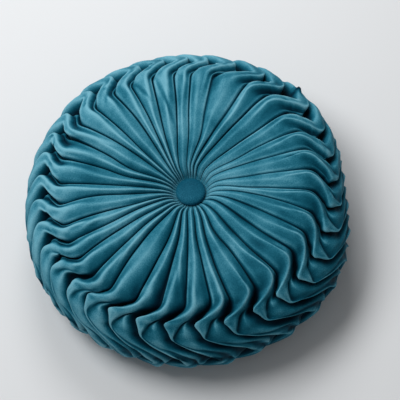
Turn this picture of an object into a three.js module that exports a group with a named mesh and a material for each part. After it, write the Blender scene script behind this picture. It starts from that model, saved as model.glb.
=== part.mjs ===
// A round velvet cushion, pleated from a covered button and smocked round its rim.
// Millimetres, +Z up. The cushion lies on its back: z = 0 is the surface under it,
// the origin is the middle of that surface, and the front is towards -Y.
import * as THREE from 'three';

// Driving sizes of the whole cushion
const OUTER_RADIUS = 199;
const CROWN_HEIGHT = 127;
const TOUCH_OUTER_RADIUS = 152;
const TOUCH_INNER_RADIUS = 78;

// Driving sizes of the covered buttons and of the dimples that they sit in
const BUTTON_RADIUS = 19;
const BUTTON_BASE_RADIUS = 15;
const BUTTON_HEIGHT = 8.7;
const BUTTON_WIDEST_SHARE = 0.42;
const BUTTON_ROUNDNESS = 0.6;
const BUTTON_SIDES = 24;
const BUTTON_CURVE_STEPS = 6;
const DIMPLE_RADIUS = 17;
const FACE_DIMPLE_FLOOR = 101;
const BACK_DIMPLE_FLOOR = 15;
const SEAT_GAP = 0.3;

// Cloth colours
const VELVET_TEAL = 0x1d5c70;
const BUTTON_TEAL = 0x10495f;

// The pleats, one row each, in degrees counter-clockwise from the front of the cushion.
// tip is where the pleat ends at the first row of stitches. rim, middle, inner and button
// are where the crease on its clockwise side passes the four radii of CREASE_RADII.
// depth tells how deep that crease is beside the others.
const CREASE_RADII = [150, 100, 60, 30];
const PLEATS = [
  { tip: 0.5, rim: 6, middle: 5.5, inner: 6, button: 11, depth: 1.0 },
  { tip: 12, rim: 14, middle: 13, inner: 15.5, button: 23, depth: 0.9 },
  { tip: 25, rim: 26.5, middle: 26, inner: 24.5, button: 32, depth: 1.0 },
  { tip: 36, rim: 38, middle: 36.5, inner: 39, button: 45, depth: 1.0 },
  { tip: 47, rim: 50.5, middle: 49.8, inner: 54, button: 61, depth: 0.8 },
  { tip: 58, rim: 61, middle: 62.5, inner: 66, button: 70, depth: 0.7 },
  { tip: 69, rim: 71, middle: 73.5, inner: 76.5, button: 79, depth: 0.6 },
  { tip: 79, rim: 81.5, middle: 80.8, inner: 82, button: 89, depth: 0.6 },
  { tip: 90, rim: 92.5, middle: 92, inner: 93, button: 98, depth: 0.5 },
  { tip: 100, rim: 103, middle: 103.5, inner: 106, button: 111, depth: 0.5 },
  { tip: 110, rim: 113, middle: 113.5, inner: 114, button: 120, depth: 0.5 },
  { tip: 122, rim: 123.8, middle: 124.2, inner: 127, button: 132.5, depth: 0.9 },
  { tip: 134, rim: 136.5, middle: 138.3, inner: 142, button: 149, depth: 0.9 },
  { tip: 143, rim: 147, middle: 148, inner: 152, button: 158, depth: 0.7 },
  { tip: 155, rim: 162.5, middle: 161.5, inner: 160, button: 166, depth: 0.5 },
  { tip: 165, rim: 172.5, middle: 172.5, inner: 171.5, button: 173, depth: 0.5 },
  { tip: 173.5, rim: 180.3, middle: 180.8, inner: 184, button: 190, depth: 0.8 },
  { tip: 182, rim: 190.5, middle: 192.6, inner: 196, button: 199, depth: 0.9 },
  { tip: 192, rim: 200.5, middle: 200.5, inner: 202.5, button: 205, depth: 0.8 },
  { tip: 202, rim: 209, middle: 207.7, inner: 209, button: 211, depth: 0.9 },
  { tip: 212, rim: 219.8, middle: 220.5, inner: 222.5, button: 223, depth: 0.9 },
  { tip: 224, rim: 230, middle: 228.8, inner: 229, button: 230, depth: 1.0 },
  { tip: 234, rim: 237.5, middle: 240.3, inner: 245, button: 241, depth: 1.0 },
  { tip: 243, rim: 248.5, middle: 250.5, inner: 254, button: 250, depth: 1.0 },
  { tip: 253.5, rim: 261.5, middle: 262.8, inner: 264, button: 265, depth: 1.0 },
  { tip: 264, rim: 272, middle: 271, inner: 273.5, button: 275, depth: 0.8 },
  { tip: 275, rim: 282.6, middle: 283.5, inner: 285.5, button: 285, depth: 1.0 },
  { tip: 284.5, rim: 291.5, middle: 293, inner: 292.5, button: 293, depth: 0.9 },
  { tip: 293, rim: 300.3, middle: 300.7, inner: 302, button: 305, depth: 1.0 },
  { tip: 304, rim: 310.5, middle: 311.2, inner: 312, button: 316, depth: 1.0 },
  { tip: 313.5, rim: 320.5, middle: 319.5, inner: 320.5, button: 325, depth: 1.0 },
  { tip: 324, rim: 333, middle: 336, inner: 339, button: 338, depth: 1.0 },
  { tip: 336, rim: 344, middle: 346, inner: 348.5, button: 347, depth: 0.8 },
  { tip: 348, rim: 354.7, middle: 356, inner: 357.5, button: 358, depth: 0.8 },
];

// Lanes run along every pleat. Flat sections use the plain set, those near a button the face set
// and the others, past the radius below, the rim set.
const RIM_LANES_RADIUS = 100;
const LANES = {
  plain: ['valley', 'top'],
  face: ['valley', 'leftEdge', 'top', 'rightEdge'],
  rim: ['valley', 'leftEdge', 'leftFlank', 'top', 'rightFlank', 'rightEdge'],
};
const LANE_ORDER = LANES.rim;

// How far a fold has dropped at each lane, as a share of its crease's depth.
const LANE_DROP = { valley: 1, leftEdge: 0.34, leftFlank: 0.08, top: 0, rightFlank: 0.1, rightEdge: 0.38 };

// Sections along a pleat, from the button on the face, over the rim, to the button on the back.
// radius and height are the ridge's; hold is 1 where creases follow the pleats' table and 0 where
// folds follow the stitches; swing moves the ridge round the rim and left and right are the fold's
// half widths, all three in pleats; crease is the depth of the valleys in mm. The rows of stitches
// are where the fold is narrowest.
const SECTIONS = [
  { radius: 20.5, height: 103.5, hold: 1, swing: 0, left: 0.44, right: 0.44, crease: 1.2 },
  { radius: 24, height: 108.5, hold: 1, swing: 0, left: 0.44, right: 0.44, crease: 2.4 },
  { radius: 31, height: 114, hold: 1, swing: 0, left: 0.44, right: 0.44, crease: 3.4 },
  { radius: 44, height: 119.5, hold: 1, swing: 0, left: 0.44, right: 0.44, crease: 4.6 },
  { radius: 62, height: 124, hold: 1, swing: 0, left: 0.44, right: 0.44, crease: 5.6 },
  { radius: 84, height: 126.4, hold: 1, swing: 0, left: 0.44, right: 0.44, crease: 6.2 },
  { radius: 108, height: CROWN_HEIGHT, hold: 1, swing: 0, left: 0.44, right: 0.44, crease: 6.8 },
  { radius: 130, height: 125.8, hold: 1, swing: 0, left: 0.44, right: 0.44, crease: 7.6 },
  { radius: 147, height: 122.8, hold: 1, swing: 0, left: 0.4, right: 0.4, crease: 8.6 },
  { radius: 157, height: 119.6, hold: 0.6, swing: -0.16, left: 0.3, right: 0.3, crease: 10 },
  { radius: 164, height: 116, hold: 0.1, swing: -0.46, left: 0.2, right: 0.2, crease: 12 },
  { radius: 169.5, height: 111.6, hold: 0, swing: -0.72, left: 0.15, right: 0.15, crease: 13 },
  { radius: 174, height: 109, hold: 0, swing: -0.68, left: 0.32, right: 0.3, crease: 12 },
  { radius: 179.5, height: 104.6, hold: 0, swing: -0.6, left: 0.3, right: 0.36, crease: 14 },
  { radius: 185.5, height: 98, hold: 0, swing: -0.42, left: 0.36, right: 0.4, crease: 14 },
  { radius: 191.5, height: 88.5, hold: 0, swing: -0.18, left: 0.4, right: 0.42, crease: 12 },
  { radius: 196.3, height: 76.5, hold: 0, swing: 0.08, left: 0.36, right: 0.38, crease: 10 },
  { radius: 198.6, height: 66, hold: 0, swing: 0.24, left: 0.26, right: 0.28, crease: 10 },
  { radius: OUTER_RADIUS, height: 57, hold: 0, swing: 0.2, left: 0.36, right: 0.34, crease: 10 },
  { radius: 198.4, height: 46, hold: 0, swing: 0.02, left: 0.36, right: 0.34, crease: 10 },
  { radius: 196, height: 36, hold: 0, swing: -0.2, left: 0.22, right: 0.22, crease: 10 },
  { radius: 193, height: 29, hold: 0, swing: -0.26, left: 0.36, right: 0.36, crease: 9 },
  { radius: 188, height: 19, hold: 0, swing: -0.16, left: 0.42, right: 0.42, crease: 7 },
  { radius: 180, height: 9.5, hold: 0, swing: -0.06, left: 0.44, right: 0.44, crease: 5 },
  { radius: 167, height: 2.6, hold: 0, swing: 0, left: 0.44, right: 0.44, crease: 2.4 },
  { radius: TOUCH_OUTER_RADIUS, height: 0, hold: 0, swing: 0, left: 0.44, right: 0.44, crease: 0 },
  { radius: TOUCH_INNER_RADIUS, height: 0, hold: 0, swing: 0, left: 0.44, right: 0.44, crease: 0 },
  { radius: 58, height: 2.2, hold: 0, swing: 0, left: 0.44, right: 0.44, crease: 2.4 },
  { radius: 38, height: 6.4, hold: 0, swing: 0, left: 0.44, right: 0.44, crease: 3 },
  { radius: 25, height: 11, hold: 0, swing: 0, left: 0.44, right: 0.44, crease: 2 },
];

// A ridge reaches the face TIP_TO_RIDGE degrees on from its tip. There it keeps at least
// RIDGE_MARGIN of its pleat's width from the creases beside it, and inside SKEW_START_RADIUS it
// lies RIDGE_MIDDLE of the way between them. CREASE_HALF_WIDTH is a share of that width too.
const TIP_TO_RIDGE = 10;
const RIDGE_MARGIN = 0.24;
const RIDGE_MIDDLE = 0.46;
const SKEW_START_RADIUS = 95;
const CREASE_HALF_WIDTH = 0.07;
const FULL_TURN = 360;

const MEAN_PITCH = FULL_TURN / PLEATS.length;

// The pleat with a given number, counted on round the rim, and the whole turns that it adds.
function pleatAt(number) {
  const count = PLEATS.length;
  const turns = Math.floor(number / count);
  return { pleat: PLEATS[number - turns * count], turn: turns * FULL_TURN };
}

// Where the crease of a pleat passes a radius on the face, in degrees.
function creaseAngle(number, radius) {
  const { pleat, turn } = pleatAt(number);
  const angles = [pleat.rim, pleat.middle, pleat.inner, pleat.button];
  let step = 0;
  while (step < CREASE_RADII.length - 2 && radius < CREASE_RADII[step + 1]) {
    step += 1;
  }
  const span = CREASE_RADII[step] - CREASE_RADII[step + 1];
  const share = THREE.MathUtils.clamp((CREASE_RADII[step] - radius) / span, 0, 1);
  return turn + THREE.MathUtils.lerp(angles[step], angles[step + 1], share);
}

// The ridge of a pleat at a section, in degrees.
function ridgeAngle(number, section) {
  const { pleat, turn } = pleatAt(number);
  const stitched = turn + pleat.tip + TIP_TO_RIDGE;
  const here = creaseAngle(number, section.radius);
  const width = creaseAngle(number + 1, section.radius) - here;
  const kept = THREE.MathUtils.clamp((stitched - here) / width, RIDGE_MARGIN, 1 - RIDGE_MARGIN);
  const skew = THREE.MathUtils.smoothstep(section.radius, SKEW_START_RADIUS, CREASE_RADII[0]);
  const onFace = here + width * THREE.MathUtils.lerp(RIDGE_MIDDLE, kept, skew);
  const onRim = stitched + section.swing * MEAN_PITCH;
  return THREE.MathUtils.lerp(onRim, onFace, section.hold);
}

// The valley on the clockwise side of a pleat at a section, in degrees.
function valleyAngle(number, section) {
  const fromHere = ridgeAngle(number, section) - section.left * MEAN_PITCH;
  const fromBefore = ridgeAngle(number - 1, section) + section.right * MEAN_PITCH;
  const between = (fromHere + fromBefore) / 2;
  return THREE.MathUtils.lerp(between, creaseAngle(number, section.radius), section.hold);
}

// The angles of all the lanes of one pleat at a section, in degrees.
function laneAngles(number, section) {
  const valley = valleyAngle(number, section);
  const next = valleyAngle(number + 1, section);
  const top = ridgeAngle(number, section);
  const crease = CREASE_HALF_WIDTH * (next - valley);
  const leftStitched = Math.max(top - section.left * MEAN_PITCH, valley + crease);
  const rightStitched = Math.min(top + section.right * MEAN_PITCH, next - crease);
  const left = THREE.MathUtils.lerp(leftStitched, valley + crease, section.hold);
  const right = THREE.MathUtils.lerp(rightStitched, next - crease, section.hold);
  return {
    valley,
    leftEdge: left,
    leftFlank: (left + top) / 2,
    top,
    rightFlank: (right + top) / 2,
    rightEdge: right,
  };
}

// The names of the lanes that a section uses.
function lanesOf(section) {
  if (section.crease === 0) {
    return LANES.plain;
  }
  return section.radius < RIM_LANES_RADIUS ? LANES.face : LANES.rim;
}

// The outward direction of the cushion's profile at a section, across the radius and up.
function profileNormal(index) {
  const before = SECTIONS[Math.max(index - 1, 0)];
  const after = SECTIONS[Math.min(index + 1, SECTIONS.length - 1)];
  return new THREE.Vector2(before.height - after.height, after.radius - before.radius).normalize();
}

// A point at an angle counter-clockwise from the front.
function pointAt(degrees, radius, height) {
  const turn = THREE.MathUtils.degToRad(degrees);
  return new THREE.Vector3(radius * Math.sin(turn), -radius * Math.cos(turn), height);
}

// One closed ring of points round the cushion, with a key that tells its place in the full order.
function sectionRing(index) {
  const section = SECTIONS[index];
  const normal = profileNormal(index);
  const ring = [];
  PLEATS.forEach((pleat, number) => {
    const angles = laneAngles(number, section);
    for (const lane of lanesOf(section)) {
      const nextDepth = pleatAt(number + 1).pleat.depth;
      const depth = lane.startsWith('right') ? nextDepth : pleat.depth;
      const drop = section.crease * depth * LANE_DROP[lane];
      const radius = section.radius - drop * normal.x;
      const height = section.height - drop * normal.y;
      ring.push({
        key: number * LANE_ORDER.length + LANE_ORDER.indexOf(lane),
        point: pointAt(angles[lane], radius, height),
      });
    }
  });
  return ring;
}

// A plain round ring in a dimple's floor, with a point under each pleat's valley and top.
function floorRing(height, section) {
  const ring = [];
  PLEATS.forEach((pleat, number) => {
    const angles = laneAngles(number, section);
    for (const lane of LANES.plain) {
      ring.push({
        key: number * LANE_ORDER.length + LANE_ORDER.indexOf(lane),
        point: pointAt(angles[lane], DIMPLE_RADIUS, height),
      });
    }
  });
  return ring;
}

// Collects the points and triangles of a closed body made of rings.
class RingBody {
  constructor() {
    this.points = [];
    this.faces = [];
  }

  addPoint(point) {
    this.points.push(point);
    return this.points.length - 1;
  }

  addRing(ring) {
    return ring.map(({ key, point }) => ({ key, at: this.addPoint(point) }));
  }

  // Joins two rings that may have different numbers of points, by the order of their keys.
  bridge(inner, outer, turnLength) {
    const keyAt = (ring, step) => {
      const turns = Math.floor(step / ring.length);
      return ring[step % ring.length].key + turns * turnLength;
    };
    const idAt = (ring, step) => ring[step % ring.length].at;
    let a = 0;
    let b = 0;
    while (a < inner.length || b < outer.length) {
      const nextInner = a < inner.length ? keyAt(inner, a + 1) : Infinity;
      const nextOuter = b < outer.length ? keyAt(outer, b + 1) : Infinity;
      let stepInner = nextInner < nextOuter;
      if (nextInner === nextOuter) {
        const acrossInner = this.points[idAt(inner, a + 1)].distanceTo(this.points[idAt(outer, b)]);
        const acrossOuter = this.points[idAt(outer, b + 1)].distanceTo(this.points[idAt(inner, a)]);
        stepInner = acrossInner < acrossOuter;
      }
      if (stepInner) {
        this.faces.push(idAt(inner, a), idAt(outer, b), idAt(inner, a + 1));
        a += 1;
      } else {
        this.faces.push(idAt(inner, a), idAt(outer, b), idAt(outer, b + 1));
        b += 1;
      }
    }
  }

  // Closes a ring with a fan of triangles to a middle point.
  cap(ring, middle, facesUp) {
    const centre = this.addPoint(middle);
    ring.forEach((entry, step) => {
      const next = ring[(step + 1) % ring.length].at;
      if (facesUp) {
        this.faces.push(centre, entry.at, next);
      } else {
        this.faces.push(centre, next, entry.at);
      }
    });
  }

  toGeometry() {
    const geometry = new THREE.BufferGeometry();
    const values = this.points.flatMap((point) => point.toArray());
    geometry.setAttribute('position', new THREE.Float32BufferAttribute(values, 3));
    geometry.setIndex(this.faces);
    geometry.computeVertexNormals();
    return geometry;
  }
}

// The filled cushion with its pleats, the folds of its smocked rim and a dimple on each side.
function makeCushion() {
  const body = new RingBody();
  const turnLength = PLEATS.length * LANE_ORDER.length;
  const first = SECTIONS[0];
  const last = SECTIONS[SECTIONS.length - 1];
  const rings = [
    floorRing(FACE_DIMPLE_FLOOR, first),
    ...SECTIONS.map((section, index) => sectionRing(index)),
    floorRing(BACK_DIMPLE_FLOOR, last),
  ].map((ring) => body.addRing(ring));
  for (let step = 0; step < rings.length - 1; step += 1) {
    body.bridge(rings[step], rings[step + 1], turnLength);
  }
  body.cap(rings[0], new THREE.Vector3(0, 0, FACE_DIMPLE_FLOOR), true);
  body.cap(rings[rings.length - 1], new THREE.Vector3(0, 0, BACK_DIMPLE_FLOOR), false);
  const velvet = new THREE.MeshStandardMaterial({ color: VELVET_TEAL, roughness: 0.85, metalness: 0 });
  const mesh = new THREE.Mesh(body.toGeometry(), velvet);
  mesh.name = 'cushion';
  return mesh;
}

// A covered button, standing on z = 0 with its dome up.
function makeButton(name) {
  const widest = BUTTON_HEIGHT * BUTTON_WIDEST_SHARE;
  const domeRise = BUTTON_HEIGHT - widest;
  const outline = new THREE.Path();
  outline.moveTo(0, 0);
  outline.lineTo(BUTTON_BASE_RADIUS, 0);
  outline.quadraticCurveTo(BUTTON_RADIUS, 0, BUTTON_RADIUS, widest);
  outline.bezierCurveTo(
    BUTTON_RADIUS, widest + domeRise * BUTTON_ROUNDNESS,
    BUTTON_RADIUS * BUTTON_ROUNDNESS, BUTTON_HEIGHT,
    0, BUTTON_HEIGHT,
  );
  const geometry = new THREE.LatheGeometry(outline.getPoints(BUTTON_CURVE_STEPS), BUTTON_SIDES);
  geometry.rotateX(Math.PI / 2);
  const cloth = new THREE.MeshStandardMaterial({ color: BUTTON_TEAL, roughness: 0.85, metalness: 0 });
  const mesh = new THREE.Mesh(geometry, cloth);
  mesh.name = name;
  return mesh;
}

const cushionGroup = new THREE.Group();
cushionGroup.add(makeCushion());

const topButton = makeButton('button_top');
topButton.position.z = FACE_DIMPLE_FLOOR + SEAT_GAP;
cushionGroup.add(topButton);

const backButton = makeButton('button_back');
backButton.rotation.x = Math.PI;
backButton.position.z = BACK_DIMPLE_FLOOR - SEAT_GAP;
cushionGroup.add(backButton);

export default cushionGroup;
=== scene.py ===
# %% [markdown]
# # A pleated velvet cushion
# The real cushion is one tube of velvet. Its two edges are drawn in to a covered button on
# each side, which makes the radial pleats, and rows of hidden stitches pinch the pleats
# sideways round the rim, which makes the lattice of slanting folds. Here the cover is one
# mesh whose points follow a rule: a profile from button to button, and a cross-section for
# each fold that changes along it. Everything is in metres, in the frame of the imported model.
#
# Geometry Nodes or a cloth simulation could also make pleats. The folds of this cushion are
# held by stitches in measured places, so tables of measures and arrays are easier to read
# and put each fold where it belongs.

# %% Load the fixed frame
import math

import bpy
import numpy as np
from mathutils import Matrix, Vector


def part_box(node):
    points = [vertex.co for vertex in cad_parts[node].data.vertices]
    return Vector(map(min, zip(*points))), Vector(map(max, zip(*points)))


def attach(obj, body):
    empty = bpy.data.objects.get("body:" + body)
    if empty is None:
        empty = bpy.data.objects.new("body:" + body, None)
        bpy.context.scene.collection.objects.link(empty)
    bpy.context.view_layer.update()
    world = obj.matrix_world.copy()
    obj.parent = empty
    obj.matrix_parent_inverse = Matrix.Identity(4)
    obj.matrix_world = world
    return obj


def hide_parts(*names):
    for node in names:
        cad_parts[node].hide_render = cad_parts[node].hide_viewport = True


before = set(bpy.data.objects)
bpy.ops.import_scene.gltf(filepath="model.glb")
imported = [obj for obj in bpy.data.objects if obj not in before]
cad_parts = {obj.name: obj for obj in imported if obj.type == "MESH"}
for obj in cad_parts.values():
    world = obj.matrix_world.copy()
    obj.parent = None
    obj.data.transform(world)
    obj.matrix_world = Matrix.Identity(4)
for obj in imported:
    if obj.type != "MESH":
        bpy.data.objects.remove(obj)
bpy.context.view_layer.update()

MM = 0.001
FULL_TURN = 360.0

# %% [markdown]
# ## Camera
# The photo looks down at about 64 degrees from a good two metres away with a long lens, and
# the camera is rolled a few degrees, so the cushion's long axis rises to the right. A fit of
# the outline, the button and the first ring of stitches gave these numbers.

# %% Camera
CAMERA_ELEVATION = math.radians(63.8)
CAMERA_DISTANCE = 2.3
CAMERA_ROLL = 0.107
CAMERA_AIM = Vector((0.0151, 0.0387, 0.0))
SENSOR_WIDTH = 36.0
PHOTO_WIDTH = 400.0
FOCAL_PIXELS = 1829.0


def add_camera():
    """A camera at the photo's place, turned about its own line of sight by the roll."""
    back = Vector((0.0, -math.cos(CAMERA_ELEVATION), math.sin(CAMERA_ELEVATION)))
    right = Vector((1.0, 0.0, 0.0))
    up = back.cross(right)
    rolled_right = right * math.cos(CAMERA_ROLL) - up * math.sin(CAMERA_ROLL)
    rolled_up = right * math.sin(CAMERA_ROLL) + up * math.cos(CAMERA_ROLL)
    turn = Matrix((rolled_right, rolled_up, back)).transposed()
    data = bpy.data.cameras.new("camera")
    data.sensor_width = SENSOR_WIDTH
    data.lens = SENSOR_WIDTH * FOCAL_PIXELS / PHOTO_WIDTH
    camera = bpy.data.objects.new("camera", data)
    camera.matrix_world = Matrix.Translation(CAMERA_AIM + back * CAMERA_DISTANCE) @ turn.to_4x4()
    bpy.context.scene.collection.objects.link(camera)
    bpy.context.scene.camera = camera
    return camera


camera = add_camera()
print("lens, mm:", round(camera.data.lens, 1))

# %% [markdown]
# ## The pleats
# A sewer spaces the pleats by eye, so no two are alike. There are 34, and each row gives one,
# in degrees counter-clockwise from the front: where its fold ends at the first row of
# stitches, then where the crease beside it passes four distances from the middle, and how
# deep that crease is. A table suits this better than a random rule, because the places of
# the creases are what makes this cushion look like itself.

# %% The pleats
CREASE_RADII = np.array([30.0, 60.0, 100.0, 150.0]) * MM
PLEATS = [
    # tip, button, inner, middle, rim, depth
    (0.5, 11, 6, 5.5, 6, 1.0),
    (12, 23, 15.5, 13, 14, 0.9),
    (25, 32, 24.5, 26, 26.5, 1.0),
    (36, 45, 39, 36.5, 38, 0.8),
    (47, 61, 54, 49.8, 50.5, 0.6),
    (58, 70, 66, 62.5, 61, 0.5),
    (69, 79, 76.5, 73.5, 71, 0.4),
    (79, 89, 82, 80.8, 81.5, 0.4),
    (90, 98, 93, 92, 92.5, 0.35),
    (100, 111, 106, 103.5, 103, 0.35),
    (110, 120, 114, 113.5, 113, 0.4),
    (122, 132.5, 127, 124.2, 123.8, 0.7),
    (134, 149, 142, 138.3, 136.5, 0.8),
    (143, 158, 152, 148, 147, 0.6),
    (155, 166, 160, 161.5, 162.5, 0.45),
    (165, 173, 171.5, 172.5, 172.5, 0.5),
    (173.5, 190, 184, 180.8, 180.3, 0.8),
    (182, 199, 196, 192.6, 190.5, 0.9),
    (192, 205, 202.5, 200.5, 200.5, 0.8),
    (202, 211, 209, 207.7, 209, 0.9),
    (212, 223, 222.5, 220.5, 219.8, 0.9),
    (224, 230, 229, 228.8, 230, 1.0),
    (234, 241, 245, 240.3, 237.5, 1.0),
    (243, 250, 254, 250.5, 248.5, 1.0),
    (253.5, 265, 264, 262.8, 261.5, 1.0),
    (264, 275, 273.5, 271, 272, 0.8),
    (275, 285, 285.5, 283.5, 282.6, 1.0),
    (284.5, 293, 292.5, 293, 291.5, 0.9),
    (293, 305, 302, 300.7, 300.3, 1.0),
    (304, 316, 312, 311.2, 310.5, 1.0),
    (313.5, 325, 320.5, 319.5, 320.5, 1.0),
    (324, 338, 339, 336, 333, 1.0),
    (336, 347, 348.5, 346, 344, 0.8),
    (348, 358, 357.5, 356, 354.7, 0.8),
]
pleats = np.array(PLEATS, float)
PLEAT_COUNT = len(PLEATS)
MEAN_PITCH = FULL_TURN / PLEAT_COUNT
tip_angle = pleats[:, 0]
crease_angle = pleats[:, 4:0:-1]
crease_depth = pleats[:, 5]
print("pleats:", PLEAT_COUNT, "mean pitch, degrees:", round(MEAN_PITCH, 2))

# %% [markdown]
# ## Sections along a pleat
# Across one pleat the cloth goes from the valley up over a small lip and a trough to the
# crest, along a shoulder, down into a slot, over the edge of the strip below and through a
# hollow to the next valley. On the face the crest is the ridge beside the crease. Past the
# first row of stitches it is the upper edge of the strap, then the outer edge of the fan,
# then the lip of the strip that slants down the rim, and the valley lies tucked under it.
# Each row is one section on the way from button to button, in millimetres. hold is 1 where
# the lanes follow the table of creases and 0 where they follow the stitches. The places are
# in pleats from the stitched line and the drops are in millimetres below the outer curve.
# The sewer's hand shows: on the right the straps are slim arcs, and at the back and the left
# they are broad ropes that lie over one another. Two more tables give those forms.

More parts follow.
